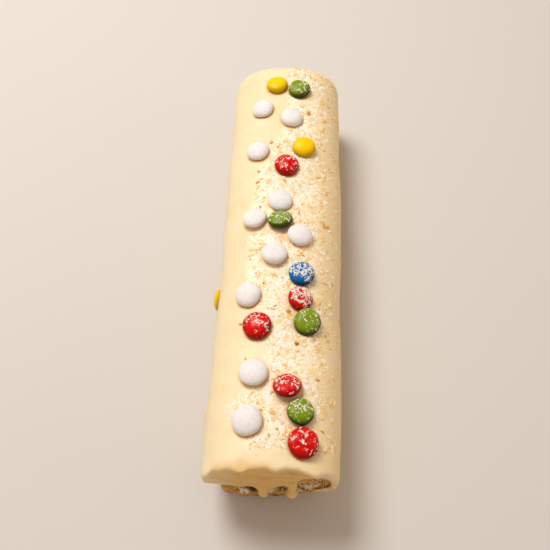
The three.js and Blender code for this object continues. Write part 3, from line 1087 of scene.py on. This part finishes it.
# heaps and how many lie in each, their spread and looks, how flat and high they lie, their limit at the
# right, and how far outside the crumbed part they stray
sprinkles = table(
    "slot heaps each spread size tones flat pile right stray",
    ("flakes", 430, 6, 0.8, 1.15, (0, 0.6), 0.12, 0.1, 16, 0),
    ("flakes", 620, 1, 0, 1.1, (0.1, 0.8), 0.12, 0.1, 16, 0),
    ("crumbs", 260, 6, 0.75, 1.2, (0, 0.5), 0.2, 0.12, 21, 1),
    ("crumbs", 700, 1, 0, 1.15, (0, 0.45), 0.2, 0.12, 21, 1),
    ("crumbs", 110, 3, 1.3, 1.9, (0.2, 0.5), 0.33, 0.1, 24, 2),
    ("crumbs", 150, 1, 0, 1.6, (0.2, 0.55), 0.33, 0.1, 24, 2),
    ("crumbs", 55, 1, 0, 1.6, (0.5, 0.9), 0.6, 0.1, 24, 7),
    ("crumbs", 45, 1, 0, 0.8, (0.3, 0.8), 0.7, 0.1, 26, 26),
)


def crumbShare(x, y, stray, right):  # how far into the crumbed part a place lies, 0 to 1
    left = np.interp(y, *zip(*crumbZone["left"])) - stray
    share = rise(x, left, crumbZone["leftFade"]) * rise(y, crumbZone["front"], crumbZone["frontFade"])
    return share * (1 - crumbZone["rightShare"] * rise(x, right, crumbZone["rightFade"]))


def crumbDensity(place, sprinkle):
    seed = sprinkle["size"]
    clump = noise.noise(Vector((place.x, place.y, seed * 40)) / crumbZone["clump"])
    fine = noise.noise(Vector((place.x, place.y, seed * 40 + 20)) / crumbZone["speckle"])
    share = float(crumbShare(place.x, place.y, sprinkle["stray"], sprinkle["right"]))
    return share * min(max(0.5 + 0.9 * clump + 0.5 * fine, 0.03), 1)


def scatter(rng, sprinkle, surface, seats):
    front, back = crumbZone["along"]
    centres = np.array([seat["centre"] for seat in seats])
    ups = np.array([seat["normal"] for seat in seats])
    radii = np.array([seat["d"] / 2 for seat in seats])

    def drop(angle, along):  # the place on the coating below, unless a sweet covers it
        outward = Vector((math.cos(angle), 0, math.sin(angle)))
        axis = Vector((float(sideShift(along)), along, roll["axisHeight"]))
        place, normal = surface.ray_cast(axis + crumbZone["dropFrom"] * outward, -outward)[:2]
        if place is None or not front < along < back:
            return None
        offset = np.array(place) - centres
        high = np.sum(offset * ups, axis=1)
        flat = np.sqrt(np.maximum(np.sum(offset**2, axis=1) - high**2, 0))
        return None if np.any(flat < radii + crumbZone["besideSweet"]) else (place, normal)

    spots, heaps = [], 0
    while heaps < sprinkle["heaps"]:
        angle = math.radians(rng.uniform(*crumbZone["angles"]))
        along = rng.uniform(front, back)
        middle = drop(angle, along)
        if middle is None or rng.random() > crumbDensity(middle[0], sprinkle):
            continue
        heaps += 1
        heapTone = rng.uniform(*sprinkle["tones"])
        for _ in range(sprinkle["each"]):
            aside, ahead = rng.normal(0, sprinkle["spread"], 2) if sprinkle["spread"] else (0.0, 0.0)
            spot = drop(angle + aside / crumbZone["radius"], along + ahead)
            if spot is not None:
                height = sprinkle["pile"] * math.exp(-(aside**2 + ahead**2)) * rng.random()
                tone = min(max(heapTone + rng.normal(0, 0.08), 0), 1)
                spots.append((spot[0] + spot[1] * height, spot[1], tone))
    return spots


def sprinkleMesh(name, groups, rng):  # groups: pairs of a sprinkle's values and its spots
    bm = bmesh.new()
    bmesh.ops.create_icosphere(bm, subdivisions=1, radius=0.5)
    shape, corners = lumpArrays(bm)
    places, tones = [], []
    for sprinkle, spots in groups:
        count = len(spots)
        sizes = sprinkle["size"] * np.exp(rng.normal(0, 0.3, count))[:, None]
        long, wide = rng.uniform(0.9, 1.4, count), rng.uniform(0.5, 0.9, count)
        flat = np.full(count, sprinkle["flat"])
        sizes = sizes * np.stack([long, wide, flat], 1)
        lumps = shape[None] * (1 + rng.uniform(-0.3, 0.3, (count, len(shape), 1))) * sizes[:, None]
        for (place, normal, tone), lump in zip(spots, lumps):
            tilted = (normal + Vector(rng.normal(0, 0.1, 3))).normalized()
            spun = Matrix.Rotation(rng.uniform(0, math.tau), 3, "Z")
            turned = tilted.to_track_quat("Z", "Y").to_matrix() @ spun
            places.append(lump @ np.array(turned).T + np.array(place))
            tones += [tone] * len(shape)
    piece = arrayMesh(name, places, corners)
    attribute(piece, "tone", tones)
    return piece


def crumbFinish():
    f = Finish("biscuitCrumb")
    stops = [
        (0.0, colour(252, 230, 186)),
        (0.4, colour(243, 204, 144)),
        (0.7, colour(224, 166, 92)),
        (1.0, colour(190, 116, 44)),
    ]
    tone = f.node("ShaderNodeValToRGB", {"stops": stops}, {"Fac": f.attribute("tone")}, "Color")
    return f.surface(Base_Color=tone, Roughness=0.8)


def flakeFinish():
    f = Finish("whiteFlake")
    shade = f.blend(f.attribute("tone"), colour(253, 246, 240), colour(248, 232, 206))
    return f.surface(Base_Color=shade, Roughness=0.75)


def makeSprinkles(finishes, coating, seats):
    rng = np.random.default_rng(11)
    polygons = [tuple(polygon.vertices) for polygon in coating.data.polygons]
    surface = BVHTree.FromPolygons(points(coating).tolist(), polygons)
    made = {}
    for sprinkle in sprinkles:
        made.setdefault(sprinkle["slot"], []).append((sprinkle, scatter(rng, sprinkle, surface, seats)))
    for slot, groups in made.items():
        piece = sprinkleMesh("sprinkled_" + slot, groups, rng)
        settle(piece, finishes[slot], slot).data.shade_flat()
        print(slot + ":", len(piece.data.polygons), "faces")


# Stage, light and camera, with places in metres

studio = {
    "floor": colour(212, 204, 199),
    "sky": (1.0, 0.85, 0.69, 1),
    "skyStrength": 0.48,
    "lampsFace": Vector((0, 0, 0.03)),
}
lamps = table(
    "name size energy tint place",
    ("key", 0.6, 14.5, (0.96, 1.0, 0.98), (-0.45, 0.45, 1.2)),
    ("fill", 0.7, 1.6, (1.0, 0.88, 0.66), (1.2, -0.1, 0.35)),
)
view = {"place": (0.0051, -0.2253, 0.4001), "azimuth": 2.29, "elevation": 59.8, "lens": 45.8}


def makeStage():
    bm = bmesh.new()
    bmesh.ops.create_grid(bm, x_segments=2, y_segments=2, size=2600)
    floor = toObject("floor", bm)
    f = Finish("paleFloor")
    floor.data.materials.append(f.surface(Base_Color=studio["floor"], Roughness=0.8))


def addLamp(lamp):
    light = bpy.data.lights.new(lamp["name"], "AREA")
    light.shape = "DISK"
    light.size = lamp["size"]
    light.energy = lamp["energy"]
    light.color = lamp["tint"]
    made = addObject(lamp["name"], light)
    made.location = lamp["place"]
    made.rotation_euler = (studio["lampsFace"] - made.location).to_track_quat("-Z", "Y").to_euler()


def makeLights():
    world = bpy.data.worlds.new("studio")
    world.use_nodes = True
    sky = world.node_tree.nodes["Background"]
    sky.inputs[0].default_value = studio["sky"]
    sky.inputs[1].default_value = studio["skyStrength"]
    bpy.context.scene.world = world
    for lamp in lamps:
        addLamp(lamp)


def makeCamera():
    lens = bpy.data.cameras.new("camera")
    lens.lens = view["lens"]
    lens.sensor_width = 36
    camera = addObject("camera", lens)
    camera.location = view["place"]
    camera.rotation_euler = (math.radians(90 - view["elevation"]), 0, math.radians(view["azimuth"]))
    bpy.context.scene.camera = camera
    bpy.context.scene.view_settings.view_transform = "Standard"


makeCamera()
makeLights()
makeStage()
print("stage, lights and camera are in place")

seats = sweetPlaces()
coating = makeCoating(coatingFinish(), seats)
print("coating:", len(coating.data.polygons), "faces")

layerFinishes = {"sponge": spongeFinish(), "cream": creamFinish(), "chocolate": chocolateFinish()}
for layer in layers:
    piece = makeLayer(layer, layerFinishes[layer["slot"]])
    print(layer["slot"] + ":", len(piece.data.polygons), "faces")

shells = {}
for look in sweetLooks:
    shells[look["kind"]] = whiteShell(look) if look["kind"] == "white" else colouredShell(look)
for place in seats:
    makeSweet(place, shells)
print("sweets:", len(seats))

makeSprinkles({"flakes": flakeFinish(), "crumbs": crumbFinish()}, coating, seats)
